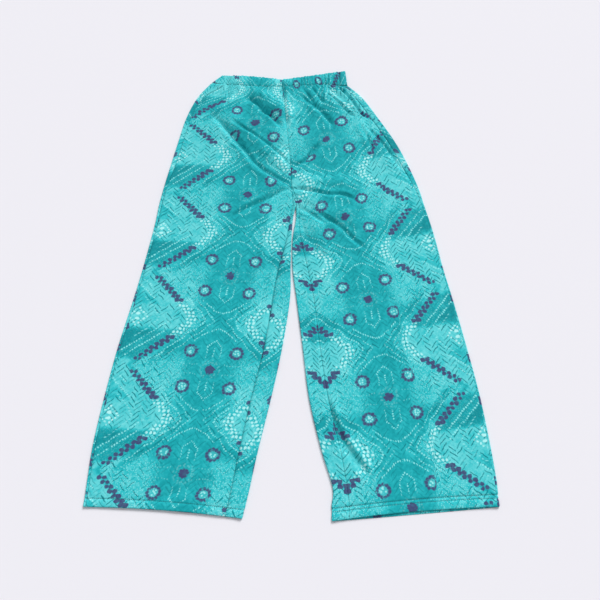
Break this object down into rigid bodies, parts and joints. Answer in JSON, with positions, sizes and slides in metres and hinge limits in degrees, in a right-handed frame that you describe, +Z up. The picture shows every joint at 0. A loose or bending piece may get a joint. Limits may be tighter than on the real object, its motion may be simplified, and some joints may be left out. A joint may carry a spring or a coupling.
{
  "type": "palazzo pants",
  "caption": "Wide-leg pull-on trousers with a gathered elastic waist, lying flat with the front side up and the legs slightly apart.",
  "frame": {"origin": "middle of the flat underside, under the centre of the laid-out garment's box", "axes": "+Y from the hems to the waist, +X to the wearer's left leg, +Z up from the surface it lies on"},
  "size_m": [0.698, 0.9956, 0.0165],
  "materials": {
    "printed_cloth": "light matt cloth in teal with a printed dotted pattern",
    "casing_cloth": "the same cloth gathered over elastic"
  },
  "bodies": {
    "root": {"front_right_leg": "printed_cloth", "front_left_leg": "printed_cloth", "back_right_leg": "printed_cloth", "back_left_leg": "printed_cloth", "waistband_front": "casing_cloth", "waistband_back": "casing_cloth"}
  },
  "joints": []
}
